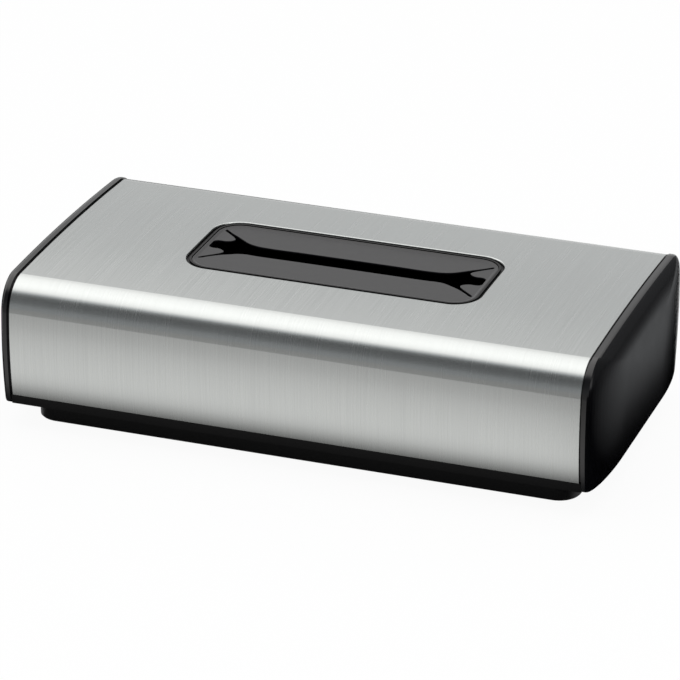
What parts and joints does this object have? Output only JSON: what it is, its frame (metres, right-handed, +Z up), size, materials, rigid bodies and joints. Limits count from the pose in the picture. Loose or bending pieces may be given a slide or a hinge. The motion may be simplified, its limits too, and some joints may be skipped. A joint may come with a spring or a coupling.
{
  "type": "tissue dispenser",
  "caption": "Flat box-shaped tissue dispenser with a brushed steel cover, black end caps, a slotted soft membrane in the top and a hinged cover over a low tray.",
  "frame": {"origin": "centre of the bounding box at the table, under the feet", "axes": "+X along the length to the viewer's right, +Y to the back, +Z up"},
  "size_m": [0.272, 0.1452, 0.0708],
  "materials": {
    "brushed_steel": "brushed",
    "gloss_black_plastic": "gloss",
    "black_plastic": "satin",
    "latch_plastic": "satin",
    "grey_membrane": "satin",
    "rubber": "matte",
    "zinc_steel": "satin",
    "spring_steel": "satin"
  },
  "bodies": {
    "base": {"base_tray": "black_plastic", "foot_front_left": "rubber", "foot_front_right": "rubber", "foot_rear_left": "rubber", "foot_rear_right": "rubber", "hinge_pin_left": "zinc_steel", "hinge_pin_right": "zinc_steel", "latch_cover": "black_plastic", "latch_cover_screw_left": "zinc_steel", "latch_cover_screw_right": "zinc_steel", "latch_spring": "spring_steel", "pack_guide_left": "black_plastic", "pack_guide_right": "black_plastic"},
    "latch": {"latch_slider": "latch_plastic"},
    "cover": {"cover_frame": "black_plastic", "dispensing_membrane": "grey_membrane", "frame_screw_front_left": "zinc_steel", "frame_screw_front_right": "zinc_steel", "frame_screw_rear_left": "zinc_steel", "frame_screw_rear_right": "zinc_steel", "front_liner": "black_plastic", "left_end_cap": "gloss_black_plastic", "membrane_retainer": "black_plastic", "opening_frame": "black_plastic", "rear_liner": "black_plastic", "retainer_screw_1": "zinc_steel", "retainer_screw_2": "zinc_steel", "retainer_screw_3": "zinc_steel", "retainer_screw_4": "zinc_steel", "retainer_screw_5": "zinc_steel", "retainer_screw_6": "zinc_steel", "right_end_cap": "gloss_black_plastic", "steel_cover": "brushed_steel"}
  },
  "joints": [
    {"name": "cover_hinge", "type": "hinge", "parent": "base", "child": "cover", "pos_m": [0, 0.0635, 0.0155], "axis": [-1, 0, 0], "range_deg": [0, 90]},
    {"name": "latch_slide", "type": "slide", "parent": "base", "child": "latch", "axis": [0, 1, 0], "range_m": [0, 0.0035], "stiffness_N_per_m": 400, "springref_m": -0.002, "deforming": ["latch_spring"]}
  ]
}
